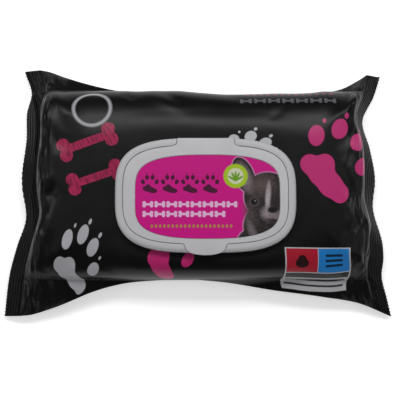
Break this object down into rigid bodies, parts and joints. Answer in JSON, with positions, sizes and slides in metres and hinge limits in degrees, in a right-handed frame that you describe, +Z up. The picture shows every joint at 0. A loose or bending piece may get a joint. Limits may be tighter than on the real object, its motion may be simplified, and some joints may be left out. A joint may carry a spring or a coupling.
{
  "type": "wet wipes pack",
  "caption": "Black film pouch of folded wet wipes with crimped, zigzag-cut end seals and a white flip-top closure with a coloured label.",
  "frame": {"origin": "centre of the base's bounding box, on the surface that the pack lies on", "axes": "+X along the pack, from one end seal to the other; +Y towards the lid's hinge; +Z up through the lid"},
  "size_m": [0.2509, 0.1624, 0.0433],
  "materials": {
    "film": "black laminate film with a satin gloss",
    "nonwoven": "moist embossed nonwoven",
    "closure_plastic": "white moulded polypropylene",
    "lid_plastic": "white moulded polypropylene",
    "label": "printed film label, magenta"
  },
  "bodies": {
    "pack": {"film_pouch": "film", "wipes_stack": "nonwoven", "closure_frame": "closure_plastic"},
    "lid": {"flip_lid": "lid_plastic", "lid_label": "label"}
  },
  "joints": [
    {"name": "lid_hinge", "type": "hinge", "parent": "pack", "child": "lid", "pos_m": [0.0049, 0.0293, 0.04185], "axis": [-1, 0, 0], "range_deg": [0, 180]}
  ]
}
